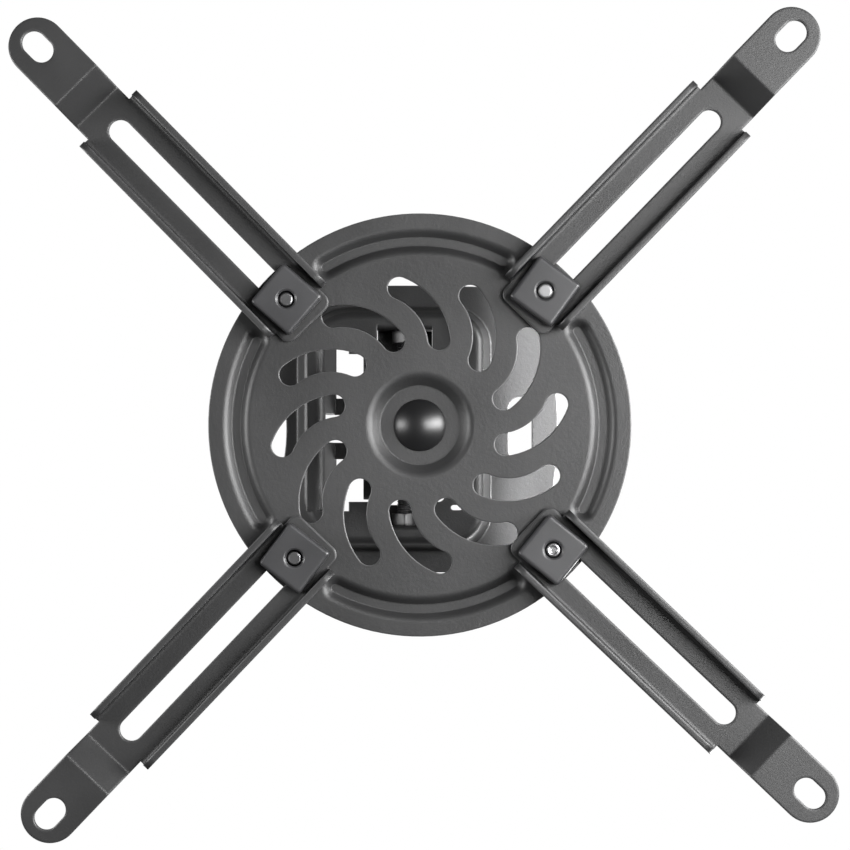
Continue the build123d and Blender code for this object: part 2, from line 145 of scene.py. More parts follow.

# Folds and gaps, where shade is painted into the colour, which count as closed and as open at these shares
# of light
CAVITY_REACH = 1.3 * MM
CAVITY_DEPTH = 3.0
CAVITY_SAMPLES = 6
CAVITY_CLOSED = 0.15
CAVITY_OPEN = 0.95

# Places of the colour sockets on a Mix node, where several sockets share a name
COLOUR_FIRST = 6
COLOUR_SECOND = 7
COLOUR_RESULT = 2

# Colours of rubbed zinc and nylon, and of the backdrop
WORN_ZINC = (0.6, 0.6, 0.6, 1)
WORN_DULL_ZINC = (0.3, 0.3, 0.3, 1)
WORN_NYLON = (0.04, 0.04, 0.04, 1)
WHITE = (1, 1, 1, 1)

# Studio, with its lengths in metres
FLOOR_SIZE = 8
FLOOR_DROP = 2.4
FLOOR_ROUGHNESS = 0.9
VIEW_DISTANCE = 20

# The photograph's side in pixels, and the camera's sensor in its own millimetres
IMAGE_SIDE = 850
SENSOR = 36.0


def node_box(name):
    """Low and high corners of a CAD node's box."""
    low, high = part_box(name)
    return Vector(low), Vector(high)


def node_middle(name):
    """Middle of a CAD node's box."""
    low, high = node_box(name)
    return (low + high) / 2


def node_low(name):
    """Lowest height of a CAD node."""
    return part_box(name)[0][2]


def node_high(name):
    """Highest height of a CAD node."""
    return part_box(name)[1][2]


PLATE = node_middle("spider_plate")


class MountFinish(bpy.types.PropertyGroup):
    """Colours and grain of the mount"""

    coat: bpy.props.FloatVectorProperty(
        name="Powder coat", description="Colour of the powder coat", subtype="COLOR",
        size=4, min=0, max=1, default=(0.021, 0.021, 0.0215, 1),
    )
    # The worn coat is pale enough to paint highlights on edges as well as wear
    coat_worn_and_highlit: bpy.props.FloatVectorProperty(
        name="Worn and highlit coat", description="Colour of the dark finishes where edges are rubbed", subtype="COLOR",
        size=4, min=0, max=1, default=(0.24, 0.24, 0.245, 1),
    )
    coat_grain: bpy.props.FloatProperty(
        name="Coat grain", description="Size of the bumps in the powder coat, larger on other finishes",
        default=0.8 * MM, min=0, unit="LENGTH",
    )
    nut_black: bpy.props.FloatVectorProperty(
        name="Black zinc", description="Colour of the square nuts and the pivot bolts", subtype="COLOR",
        size=4, min=0, max=1, default=(0.040, 0.040, 0.042, 1),
    )
    bolt_black: bpy.props.FloatVectorProperty(
        name="Black gloss", description="Colour of the domed bolt", subtype="COLOR",
        size=4, min=0, max=1, default=(0.006, 0.006, 0.0065, 1),
    )
    zinc_dull: bpy.props.FloatVectorProperty(
        name="Dull zinc", description="Colour of the clamp screw with a plain cut end", subtype="COLOR",
        size=4, min=0, max=1, default=(0.34, 0.34, 0.345, 1),
    )
    zinc: bpy.props.FloatVectorProperty(
        name="Bright zinc", description="Colour of the plated screws, washers and nut", subtype="COLOR",
        size=4, min=0, max=1, default=(0.64, 0.64, 0.65, 1),
    )
    nylon: bpy.props.FloatVectorProperty(
        name="Nylon", description="Colour of the friction washer", subtype="COLOR",
        size=4, min=0, max=1, default=(0.03, 0.03, 0.03, 1),
    )


class MountHardware(bpy.types.PropertyGroup):
    """Sizes of the bolts, nuts and screws"""

    dome_width: bpy.props.FloatProperty(
        name="Dome width", description="Width of the domed bolt's head",
        default=16 * MM, min=0, unit="LENGTH",
    )
    dome_height: bpy.props.FloatProperty(
        name="Dome height", description="Height of the domed bolt's head",
        default=3.6 * MM, min=0, unit="LENGTH",
    )
    swivel_thread: bpy.props.FloatProperty(
        name="Swivel thread", description="Thread size of the domed bolt, and width of its square neck",
        default=6 * MM, min=0, unit="LENGTH",
    )
    swivel_pitch: bpy.props.FloatProperty(
        name="Swivel pitch", description="Rise of the domed bolt's thread in one turn",
        default=1.0 * MM, min=0, unit="LENGTH",
    )
    small_thread: bpy.props.FloatProperty(
        name="Small thread", description="Thread size of the pivot bolts and clamp screws",
        default=5 * MM, min=0, unit="LENGTH",
    )
    small_pitch: bpy.props.FloatProperty(
        name="Small pitch", description="Rise of the small threads in one turn",
        default=0.8 * MM, min=0, unit="LENGTH",
    )
    dimpled_screw: bpy.props.IntProperty(
        name="Dimpled screw", description="Number of the clamp screw with a dimple in its end",
        default=1, min=1, max=4,
    )
    flush_screw: bpy.props.IntProperty(
        name="Flush screw", description="Number of the clamp screw with a plain cut end",
        default=4, min=1, max=4,
    )
    hex_width: bpy.props.FloatProperty(
        name="Hexagon width", description="Width across flats of the pivot bolts and nuts",
        default=8 * MM, min=0, unit="LENGTH",
    )
    hex_chamfer: bpy.props.FloatProperty(
        name="Hexagon chamfer", description="Rounding of the hexagons' corners",
        default=0.7 * MM, min=0, unit="LENGTH",
    )


class MountStudio(bpy.types.PropertyGroup):
    """Camera, lamps and backdrop"""

    camera_drop: bpy.props.FloatProperty(
        name="Camera drop", description="Distance of the camera below the ceiling",
        default=1.084, min=0, unit="LENGTH",
    )
    camera_side: bpy.props.FloatProperty(
        name="Camera side", description="Distance of the camera beside the swivel axis, along Y",
        default=0.024, unit="LENGTH",
    )
    photo_scale: bpy.props.FloatProperty(
        name="Photo scale", description="Pixels to a millimetre at the tabs", default=3.356, min=0,
    )
    photo_x: bpy.props.FloatProperty(
        name="Photo X", description="Pixel column of the swivel axis", default=419.8, min=0,
    )
    photo_y: bpy.props.FloatProperty(
        name="Photo Y", description="Pixel row of the swivel axis", default=425.2, min=0,
    )
    right_power: bpy.props.FloatProperty(
        name="Right softbox", description="Power of the softbox on the right",
        default=8.8, min=0, unit="POWER",
    )
    low_power: bpy.props.FloatProperty(
        name="Low softbox", description="Power of the softbox low on the right",
        default=3.1, min=0, unit="POWER",
    )
    strip_power: bpy.props.FloatProperty(
        name="Rim strip", description="Power of the narrow beam on the ceiling plate's right rim",
        default=0.037, min=0, unit="POWER",
    )
    left_power: bpy.props.FloatProperty(
        name="Left softbox", description="Power of the softbox on the left",
        default=1.7, min=0, unit="POWER",
    )
    top_power: bpy.props.FloatProperty(
        name="Top softbox", description="Power of the softbox above the mount",
        default=10.0, min=0, unit="POWER",
    )
    room_light: bpy.props.FloatProperty(
        name="Room light", description="Brightness of the room around the mount", default=0.05, min=0,
    )
    gloss_room: bpy.props.FloatProperty(
        name="Mirrored backdrop", description="Share of the white backdrop that metal mirrors",
        default=0.05, min=0, max=1, subtype="FACTOR",
    )
    floor_shown: bpy.props.FloatProperty(
        name="Floor shown", description="Share of the floor that shows at its full pale colour",
        default=0.6, min=0, max=1, subtype="FACTOR",
    )
    floor_colour: bpy.props.FloatVectorProperty(
        name="Floor", description="Colour of the floor", subtype="COLOR",
        size=4, min=0, max=1, default=(0.8, 0.8, 0.79, 1),
    )


# Small steps that the operators share

def deselect():
    """Leave nothing selected."""
    bpy.ops.object.select_all(action="DESELECT")


def activate(piece):
    """Make a piece the only selected object."""
    deselect()
    piece.select_set(True)
    bpy.context.view_layer.objects.active = piece


def name_new(name):
    """Name the object that an operator has just added."""
    piece = bpy.context.object
    piece.name = name
    piece.data.name = name
    return piece


def leave_edit():
    """Return to object mode."""
    bpy.ops.object.mode_set(mode="OBJECT")


def pick(piece, faces=None, edges=None):
    """Select the faces or edges of a piece that pass a test, and stay in edit mode."""
    activate(piece)
    bpy.ops.object.mode_set(mode="EDIT")
    bpy.ops.mesh.select_mode(type="FACE" if faces else "EDGE")
    bpy.ops.mesh.select_all(action="DESELECT")
    leave_edit()
    mesh = piece.data
    for polygon in mesh.polygons if faces else ():
        polygon.select = faces(polygon)
    for edge in mesh.edges if edges else ():
        ends = [mesh.vertices[index].co for index in edge.vertices]
        edge.select = edges(*ends)
    bpy.ops.object.mode_set(mode="EDIT")


def edges_above(height):
    """Test for edges that lie at a height or above it."""
    return lambda start, end: min(start.z, end.z) > height - TINY


def faces_above(height):
    """Test for faces that look up and lie at a height or above it."""
    return lambda face: face.normal.z > FACING_UP and face.center.z > height - TINY


def bevel_edges(piece, edges, offset, segments=1):
    """Chamfer the edges of a piece that pass a test, or round them with more segments."""
    pick(piece, edges=edges)
    bpy.ops.mesh.bevel(offset=offset, segments=segments, affect="EDGES")
    leave_edit()


def apply_place(piece):
    """Move an object's place into its mesh."""
    activate(piece)
    bpy.ops.object.transform_apply(location=True, rotation=True, scale=True)


def turn_over(piece, middle=0.0):
    """Turn a piece upside down about a height on the Z axis."""
    piece.matrix_world = Matrix.Translation((0, 0, 2 * middle)) @ Matrix.Rotation(math.pi, 4, "X")
    apply_place(piece)


def stand(piece, spot, direction):
    """Turn a piece drawn along +Z to point in a direction, and put it on its spot."""
    turn = direction.to_track_quat("Z", "Y").to_matrix().to_4x4()
    piece.matrix_world = Matrix.Translation(spot) @ turn
    apply_place(piece)


def apply_boolean(piece, tool, operation):
    """Cut or trim a piece by another one, which is used up."""
    activate(piece)
    modifier = piece.modifiers.new("Trim", "BOOLEAN")
    modifier.object = tool
    modifier.operation = operation
    modifier.solver = "EXACT"
    bpy.ops.object.modifier_apply(modifier=modifier.name)
    bpy.data.objects.remove(tool)


def join(pieces, name):
    """Join several pieces into the first one."""
    activate(pieces[0])
    for piece in pieces[1:]:
        piece.select_set(True)
    bpy.ops.object.join()
    return name_new(name)


def smooth(piece):
    """Shade a piece smooth, apart from its sharp edges, with its faces outwards."""
    activate(piece)
    bpy.ops.object.mode_set(mode="EDIT")
    bpy.ops.mesh.select_all(action="SELECT")
    bpy.ops.mesh.normals_make_consistent(inside=False)
    leave_edit()
    bpy.ops.object.shade_smooth_by_angle(angle=SHARP_ANGLE)


def add_cylinder(name, radius, height, sides, middle=0.0):
    """Add an upright cylinder or prism on the Z axis, with its middle at a height."""
    deselect()
    bpy.ops.mesh.primitive_cylinder_add(
        vertices=sides, radius=radius, depth=height, location=(0, 0, middle))
    cylinder = name_new(name)
    apply_place(cylinder)
    return cylinder


def make_rod(name, radius, length, chamfer):
    """Model a rod up from Z 0, with its far end chamfered."""
    rod = add_cylinder(name, radius, length, ROD_SIDES, middle=length / 2)
    bevel_edges(rod, edges_above(length), chamfer)
    return rod


def make_thread(name, thread, pitch, start, length):
    """Model a thread's ridge around the Z axis from a height up, in whole turns."""
    deselect()
    bpy.ops.mesh.primitive_circle_add(vertices=3, radius=pitch / 2, fill_type="NGON")
    ridge = name_new(name)
    crest = thread / 2
    root = crest - pitch * RIDGE_DEPTH
    foot = pitch * RIDGE_HALF_FOOT
    corners = ((crest, 0), (root, foot), (root, -foot))
    for vertex, (across, along) in zip(ridge.data.vertices, corners):
        vertex.co = (across, 0, along)
    screw = ridge.modifiers.new("Thread", "SCREW")
    screw.axis = "Z"
    screw.angle = 2 * math.pi
    screw.screw_offset = pitch
    screw.iterations = max(LEAST_TURNS, round(length / pitch))
    screw.steps = RIDGE_STEPS
    screw.render_steps = RIDGE_STEPS
    screw.use_smooth_shade = False
    bpy.ops.object.modifier_apply(modifier=screw.name)
    ridge.location = (0, 0, start)
    apply_place(ridge)
    return ridge


def make_hexagon(name, width, height, chamfer, hole=0, both_ends=True):
    """Model a hexagon up from Z 0, its corners cut round at its ends, with a hole if it is a nut."""
    corner = width / math.sqrt(3)
    hexagon = add_cylinder(name, corner, height, sides=6, middle=height / 2)
    turned = add_cylinder(name + "_turned", corner * CORNER_REACH, height, HEAD_SIDES, middle=height / 2)
    at_top = edges_above(height)

    def at_end(start, end):
        """An edge lies around one of the rounded ends."""
        return at_top(start, end) or (both_ends and max(start.z, end.z) < TINY)

    bevel_edges(turned, at_end, chamfer, segments=3)
    apply_boolean(hexagon, turned, "INTERSECT")
    if hole:
        drill = add_cylinder(name + "_hole", hole, height * 3, ROD_SIDES)
        apply_boolean(hexagon, drill, "DIFFERENCE")
    return hexagon


# Shader groups

def new_group(name, inputs, outputs):
    """Start a shader group with named sockets."""
    group = bpy.data.node_groups.new(name, "ShaderNodeTree")
    for socket, kind, value in inputs:
        made = group.interface.new_socket(name=socket, in_out="INPUT", socket_type=kind)
        made.default_value = value
    for socket, kind in outputs:
        group.interface.new_socket(name=socket, in_out="OUTPUT", socket_type=kind)
    return group, group.nodes.new("NodeGroupInput"), group.nodes.new("NodeGroupOutput")


def use_group(tree, group, **values):
    """Place a shader group in a material with its own values."""
    node = tree.nodes.new("ShaderNodeGroup")
    node.node_tree = group
    for socket, value in values.items():
        node.inputs[socket.replace("_", " ")].default_value = value
    return node


def add_math(tree, operation, *values):
    """Add a Math node; each value is a number or a socket."""
    node = tree.nodes.new("ShaderNodeMath")
    node.operation = operation
    for socket, value in zip(node.inputs, values):
        if isinstance(value, (int, float)):
            socket.default_value = value
        else:
            tree.links.new(value, socket)
    return node.outputs[0]


def add_noise(tree, place, scale, detail, rough):
    """Add a noise on object coordinates, with its scale from a socket."""
    node = tree.nodes.new("ShaderNodeTexNoise")
    node.inputs["Detail"].default_value = detail
    node.inputs["Roughness"].default_value = rough
    tree.links.new(place, node.inputs["Vector"])
    tree.links.new(scale, node.inputs["Scale"])
    return node.outputs["Fac"]


def remap(tree, value, low, high, start=0.0, end=1.0):
    """Stretch a value from start..end to low..high."""
    node = tree.nodes.new("ShaderNodeMapRange")
    tree.links.new(value, node.inputs["Value"])
    node.inputs["From Min"].default_value = start
    node.inputs["From Max"].default_value = end
    node.inputs["To Min"].default_value = low
    node.inputs["To Max"].default_value = high
    return node.outputs["Result"]


def mix_colour(tree, factor, first, second):
    """Mix two colours, each a value or a socket."""
    node = tree.nodes.new("ShaderNodeMix")
    node.data_type = "RGBA"
    tree.links.new(factor, node.inputs["Factor"])
    for place, value in ((COLOUR_FIRST, first), (COLOUR_SECOND, second)):
        if isinstance(value, bpy.types.NodeSocket):
            tree.links.new(value, node.inputs[place])
        else:
            node.inputs[place].default_value = value
    return node.outputs[COLOUR_RESULT]


def mix_shaders(tree, factor, first, second, output):
    """Mix two shaders by a factor and send them to the output node."""
    mix = tree.nodes.new("ShaderNodeMixShader")
    tree.links.new(factor, mix.inputs["Fac"])
    tree.links.new(first, mix.inputs[1])
    tree.links.new(second, mix.inputs[2])
    tree.links.new(mix.outputs["Shader"], tree.nodes[output].inputs["Surface"])


def make_grain_group():
    """Fine bumps with a slow drift in tone, on object coordinates."""
    tree, given, result = new_group(
        "Surface Grain",
        [("Scale", "NodeSocketFloat", 2000.0), ("Drift Scale", "NodeSocketFloat", 40.0)],
        [("Height", "NodeSocketFloat"), ("Speck", "NodeSocketFloat"), ("Drift", "NodeSocketFloat")],
    )
    place = tree.nodes.new("ShaderNodeTexCoord").outputs["Object"]
    fine = add_noise(tree, place, given.outputs["Scale"], detail=3.0, rough=0.6)
    coarse_scale = add_math(tree, "MULTIPLY", given.outputs["Scale"], COARSE_SCALE)
    coarse = add_noise(tree, place, coarse_scale, detail=1.0, rough=0.5)
    drift = add_noise(tree, place, given.outputs["Drift Scale"], detail=3.0, rough=0.5)
    fine_part = add_math(tree, "MULTIPLY", fine, FINE_SHARE)
    coarse_part = add_math(tree, "MULTIPLY", coarse, 1 - FINE_SHARE)
    tree.links.new(add_math(tree, "ADD", fine_part, coarse_part), result.inputs["Height"])
    tree.links.new(fine, result.inputs["Speck"])
    tree.links.new(drift, result.inputs["Drift"])
    return tree


def make_edge_wear_and_highlight_group():
    """Mask of edges, where wear and painted highlights go, broken up by a noise, and the rounded normal
    that finds them.
    """
    tree, given, result = new_group(
        "Edge Wear And Painted Highlight",
        [("Patch Scale", "NodeSocketFloat", 300.0), ("Radius", "NodeSocketFloat", ROUND_EDGE)],
        [("Mask", "NodeSocketFloat"), ("Normal", "NodeSocketVector")],
    )
    bevel = tree.nodes.new("ShaderNodeBevel")
    bevel.samples = BEVEL_SAMPLES
    tree.links.new(given.outputs["Radius"], bevel.inputs["Radius"])
    plain = tree.nodes.new("ShaderNodeNewGeometry")
    dot = tree.nodes.new("ShaderNodeVectorMath")
    dot.operation = "DOT_PRODUCT"
    tree.links.new(bevel.outputs["Normal"], dot.inputs[0])
    tree.links.new(plain.outputs["Normal"], dot.inputs[1])
    place = tree.nodes.new("ShaderNodeTexCoord").outputs["Object"]
    patch = add_noise(tree, place, given.outputs["Patch Scale"], detail=3.0, rough=0.6)
    turned = add_math(tree, "SUBTRACT", 1.0, dot.outputs["Value"])
    edge = add_math(tree, "MULTIPLY", turned, WEAR_AND_HIGHLIGHT_GAIN)
    broken = add_math(tree, "MULTIPLY", edge, patch)
    limited = tree.nodes.new("ShaderNodeClamp")
    tree.links.new(broken, limited.inputs["Value"])
    tree.links.new(limited.outputs["Result"], result.inputs["Mask"])
    tree.links.new(bevel.outputs["Normal"], result.inputs["Normal"])
    return tree


def make_painted_fold_shade_group():
    """Mask of painted shade, which falls from 1 towards 0 in folds, gaps and corners."""
    tree, given, result = new_group(
        "Painted Fold Shade",
        [("Reach", "NodeSocketFloat", CAVITY_REACH), ("Depth", "NodeSocketFloat", CAVITY_DEPTH)],
        [("Mask", "NodeSocketFloat")],
    )
    near = tree.nodes.new("ShaderNodeAmbientOcclusion")
    near.samples = CAVITY_SAMPLES
    tree.links.new(given.outputs["Reach"], near.inputs["Distance"])
    open_part = remap(tree, near.outputs["AO"], 0, 1, start=CAVITY_CLOSED, end=CAVITY_OPEN)
    tree.links.new(add_math(tree, "POWER", open_part, given.outputs["Depth"]), result.inputs["Mask"])
    return tree


# Finishes

def tone(colour, share):
    """A darker or lighter tone of a colour."""
    return tuple(channel * share for channel in colour[:3]) + (1,)


def make_finish(name, groups, colour, worn_and_highlit_colour, rough, grain, bump,
                metallic=0.0, wear_and_highlight=1.0, round_edge=ROUND_EDGE):
    """A coated, plated or moulded surface with grain, drifting tone, edges both rubbed and painted with
    highlights, and painted shade in folds.
    """
    material = bpy.data.materials.new(name)
    material.use_nodes = True
    tree = material.node_tree
    shader = tree.nodes["Principled BSDF"]
    surface = use_group(tree, groups["grain"], Scale=grain, Drift_Scale=DRIFT_SCALE)
    edges = use_group(tree, groups["wear_and_highlight"], Patch_Scale=PATCH_SCALE, Radius=round_edge)
    folds = use_group(tree, groups["painted_fold_shade"], Reach=CAVITY_REACH, Depth=CAVITY_DEPTH)
    drift, speck = surface.outputs["Drift"], surface.outputs["Speck"]
    rubbed_and_highlit = add_math(tree, "MULTIPLY", edges.outputs["Mask"], wear_and_highlight)
    painted_fold_shade = folds.outputs["Mask"]

    pale = tone(colour, PALE_TONE)
    base = mix_colour(tree, remap(tree, drift, 0, 1, start=0.35, end=0.65), tone(colour, DEEP_TONE), pale)
    base = mix_colour(tree, remap(tree, speck, 0, 0.5, start=0.5, end=0.75), base, pale)
    # Edges go towards the worn colour: partly wear, partly painted highlight
    base = mix_colour(tree, rubbed_and_highlit, base, worn_and_highlit_colour)
    # Painted shade: folds, gaps and corners are darkened in the base colour
    base = mix_colour(tree, painted_fold_shade, tone(colour, PAINTED_SHADE_TONE), base)
    tree.links.new(base, shader.inputs["Base Color"])
    shader.inputs["Metallic"].default_value = metallic
    shader.inputs["Specular IOR Level"].default_value = SPECULAR_LEVEL

    roughness = remap(tree, drift, rough * SMOOTHEST, rough * ROUGHEST, start=0.3, end=0.7)
    rubbed_part = add_math(tree, "MULTIPLY", rubbed_and_highlit, RUBBED_ROUGHNESS)
    roughness = add_math(tree, "ADD", roughness, rubbed_part)
    roughness = add_math(tree, "ADD", roughness, remap(tree, painted_fold_shade, CAVITY_ROUGHNESS, 0))
    tree.links.new(roughness, shader.inputs["Roughness"])

    bumps = tree.nodes.new("ShaderNodeBump")
    bumps.inputs["Strength"].default_value = bump
    bumps.inputs["Distance"].default_value = BUMP_DISTANCE
    tree.links.new(surface.outputs["Height"], bumps.inputs["Height"])
    tree.links.new(edges.outputs["Normal"], bumps.inputs["Normal"])
    tree.links.new(bumps.outputs["Normal"], shader.inputs["Normal"])
    return material


def dress(piece, material):
    """Give a piece one material."""
    piece.data.materials.clear()
    piece.data.materials.append(material)


def finish_piece(piece, body, node, material):
    """Tie a finished piece to its body, the CAD node it stands for and its finish."""
    dress(piece, bpy.data.materials[material])
    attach(piece, body)
    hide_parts(node)


class MOUNT_OT_finishes(bpy.types.Operator):
    """Give every CAD part of the mount its finish"""

    bl_idname = "mount.finishes"
    bl_label = "Finishes"

    def execute(self, context):
        made = self.make_finishes(context.scene.mount_finish)
        for subpart in frame["record"]["subparts"]:
            folded = subpart["node"].startswith("arm_")
            slot = "folded_coat" if folded else subpart["material_slot"]
            dress(frame["nodes"][subpart["node"]], made[slot])
        return {"FINISHED"}

    def make_finishes(self, finish):
        """The mount's materials, by slot, with one of their own for the arms and the dull screw."""
        groups = {"grain": make_grain_group(), "wear_and_highlight": make_edge_wear_and_highlight_group(), "painted_fold_shade": make_painted_fold_shade_group()}
        grain = 1 / finish.coat_grain
        return {
            "powder_coat": make_finish(
                "Powder Coat", groups, finish.coat, finish.coat_worn_and_highlit,
                rough=0.46, grain=grain, bump=0.65),
            "folded_coat": make_finish(
                "Folded Coat", groups, finish.coat, finish.coat_worn_and_highlit,
                rough=0.46, grain=grain, bump=0.4, wear_and_highlight=0.6, round_edge=1.0 * MM),
            "black_zinc": make_finish(
                "Black Zinc", groups, finish.nut_black, finish.coat_worn_and_highlit,
                rough=0.36, grain=grain * 0.7, bump=0.2),
            "black_gloss": make_finish(
                "Black Gloss", groups, finish.bolt_black, finish.coat_worn_and_highlit,
                rough=0.36, grain=grain * 0.5, bump=0.06, wear_and_highlight=0.4),
            "bright_zinc": make_finish(
                "Bright Zinc", groups, finish.zinc, WORN_ZINC,
                rough=0.22, grain=grain * 0.6, bump=0.12, metallic=1.0, wear_and_highlight=0.7),
            "black_nylon": make_finish(
                "Black Nylon", groups, finish.nylon, WORN_NYLON,
                rough=0.55, grain=grain * 0.5, bump=0.15),
            "dull_zinc": make_finish(
                "Dull Zinc", groups, finish.zinc_dull, WORN_DULL_ZINC,
                rough=0.5, grain=grain * 0.6, bump=0.2, metallic=1.0, wear_and_highlight=0.7),
        }


class MOUNT_OT_swivel_bolt(bpy.types.Operator):
    """Model the domed bolt of the swivel, with its square neck and thread"""

    bl_idname = "mount.swivel_bolt"
    bl_label = "Swivel bolt"

    def execute(self, context):
        sizes = context.scene.mount_hardware
        foot = node_low("centre_bolt")
        top = node_high("centre_bolt")
        seat = foot + sizes.dome_height
        neck_height = node_low("friction_washer") - seat - NECK_GAP
        dome = self.make_dome(sizes, foot, seat, top)
        neck = self.make_neck(sizes, seat, neck_height)
        ridge = make_thread(
            "swivel_bolt_thread", sizes.swivel_thread, sizes.swivel_pitch,
            start=seat + neck_height + SWIVEL_THREAD_START,
            length=top - seat - neck_height - SWIVEL_THREAD_MARGIN)
        bolt = join([dome, neck, ridge], "swivel_bolt")
        smooth(bolt)
        finish_piece(bolt, "spider", "centre_bolt", "Black Gloss")
        return {"FINISHED"}

    def make_dome(self, sizes, foot, seat, top):
        """The domed head, cut flat at its seat, with the bolt's core drawn up out of it."""
        half = sizes.dome_width / 2
        sphere = (half**2 + sizes.dome_height**2) / (2 * sizes.dome_height)
        deselect()
        bpy.ops.mesh.primitive_uv_sphere_add(
            segments=DOME_SEGMENTS, ring_count=DOME_RINGS, radius=sphere, location=(0, 0, foot + sphere))
        dome = name_new("swivel_bolt_dome")
        apply_place(dome)
        activate(dome)
        bpy.ops.object.mode_set(mode="EDIT")
        bpy.ops.mesh.select_all(action="SELECT")
        bpy.ops.mesh.bisect(plane_co=(0, 0, seat), plane_no=(0, 0, 1), use_fill=True, clear_outer=True)
        leave_edit()
        bevel_edges(dome, edges_above(seat), DOME_ROUNDING, segments=3)
        pick(dome, faces=faces_above(seat))
        bpy.ops.mesh.inset(thickness=half - DOME_ROUNDING - sizes.swivel_thread * SWIVEL_CORE)
        bpy.ops.mesh.extrude_region_move(TRANSFORM_OT_translate={"value": (0, 0, top - seat)})
        bpy.ops.mesh.inset(thickness=SWIVEL_TIP_RING)
        leave_edit()
        return dome

    def make_neck(self, sizes, seat, height):
        """The square neck that sits in the spider plate."""
        deselect()
        bpy.ops.mesh.primitive_cube_add(size=1, location=(0, 0, seat + height / 2))
        neck = name_new("swivel_bolt_neck")
        neck.scale = (sizes.swivel_thread, sizes.swivel_thread, height)
        apply_place(neck)
        bevel_edges(neck, lambda start, end: abs(start.z - end.z) > height / 2, NECK_ROUNDING, segments=2)
        return neck


class MOUNT_OT_pivot_fasteners(bpy.types.Operator):
    """Model the two bolts and nuts that the hanger tilts on"""

    bl_idname = "mount.pivot_fasteners"
    bl_label = "Pivot fasteners"

    def execute(self, context):
        sizes = context.scene.mount_hardware
        for number in (1, 2):
            low, high = node_box(f"pivot_bolt_{number}")
            side = -1 if low.y + high.y < 0 else 1
            axis = ((low.x + high.x) / 2, (low.z + high.z) / 2)
            self.make_bolt(sizes, number, side, axis)
            self.make_nut(sizes, number, side, axis)
        return {"FINISHED"}

    def make_bolt(self, sizes, number, side, axis):
        """One pivot bolt, with its head inside and its thread pointing outwards."""
        low, high = node_box(f"pivot_bolt_{number}")
        inner, outer = sorted((abs(low.y), abs(high.y)))
        length = outer - inner
        head = make_hexagon(
            f"pivot_head_{number}", sizes.hex_width, PIVOT_HEAD, sizes.hex_chamfer, both_ends=False)
        turn_over(head, middle=PIVOT_HEAD / 2)
        rod = make_rod(f"pivot_rod_{number}", sizes.small_thread * SMALL_CORE, length, PIVOT_TIP)
        ridge = make_thread(
            f"pivot_thread_{number}", sizes.small_thread, sizes.small_pitch,
            start=PIVOT_HEAD + PIVOT_THREAD_START, length=length - PIVOT_HEAD - PIVOT_THREAD_MARGIN)
        bolt = join([head, rod, ridge], f"pivot_bolt_detail_{number}")
        smooth(bolt)
        stand(bolt, Vector((axis[0], side * inner, axis[1])), Vector((0, side, 0)))
        finish_piece(bolt, "ceiling", f"pivot_bolt_{number}", "Black Zinc")

    def make_nut(self, sizes, number, side, axis):
        """One pivot nut on the same axis."""
        low, high = node_box(f"pivot_nut_{number}")
        inner = min(abs(low.y), abs(high.y))
        nut = make_hexagon(
            f"pivot_nut_detail_{number}", sizes.hex_width, high.y - low.y, sizes.hex_chamfer,
            hole=sizes.small_thread / 2 + NUT_CLEARANCE)
        smooth(nut)
        stand(nut, Vector((axis[0], side * inner, axis[1])), Vector((0, side, 0)))
        finish_piece(nut, "ceiling", f"pivot_nut_{number}", "Black Zinc")


class MOUNT_OT_clamp_screws(bpy.types.Operator):
    """Model the four clamp screws, with sockets above and threads below"""

    bl_idname = "mount.clamp_screws"
    bl_label = "Clamp screws"

    def execute(self, context):
        sizes = context.scene.mount_hardware
        for number in range(1, 5):
            low, high = node_box(f"clamp_screw_{number}")
            middle = (low + high) / 2
            seat = node_high(f"clamp_washer_{number}")
            head = self.make_head(number, (high.x - low.x) / 2, high.z - seat)
            shank = self.make_shank(sizes, number, seat - low.z)
            screw = join([head, shank], f"clamp_screw_detail_{number}")
            screw.location = (middle.x, middle.y, seat)
            apply_place(screw)
            smooth(screw)
            zinc = "Dull Zinc" if number == sizes.flush_screw else "Bright Zinc"
            finish_piece(screw, f"clamp_{number}", f"clamp_screw_{number}", zinc)
        return {"FINISHED"}

    def make_head(self, number, radius, height):
        """A rounded head up from Z 0, with a hexagon socket in its top."""
        head = add_cylinder(f"clamp_head_{number}", radius, height, HEAD_SIDES, middle=height / 2)
        bevel_edges(head, edges_above(height), CLAMP_ROUNDING, segments=5)
        socket = add_cylinder("clamp_socket", SOCKET_RADIUS, SOCKET_HEIGHT, sides=6, middle=height)
        apply_boolean(head, socket, "DIFFERENCE")
        return head

    def make_shank(self, sizes, number, length):
        """A threaded shank down from Z 0, with a dimple in its end if the screw has one."""
        rod = make_rod(f"clamp_rod_{number}", sizes.small_thread * SMALL_CORE, length, CLAMP_TIP)
        if number == sizes.dimpled_screw:
            pick(rod, faces=faces_above(length))
            bpy.ops.mesh.inset(thickness=DIMPLE_RIM)
            bpy.ops.mesh.inset(thickness=DIMPLE_SLOPE, depth=-DIMPLE_DEPTH)
            leave_edit()
        ridge = make_thread(
            f"clamp_thread_{number}", sizes.small_thread, sizes.small_pitch,
            start=CLAMP_THREAD_START, length=length - CLAMP_THREAD_MARGIN)
        shank = join([rod, ridge], f"clamp_shank_{number}")
        turn_over(shank)
        return shank


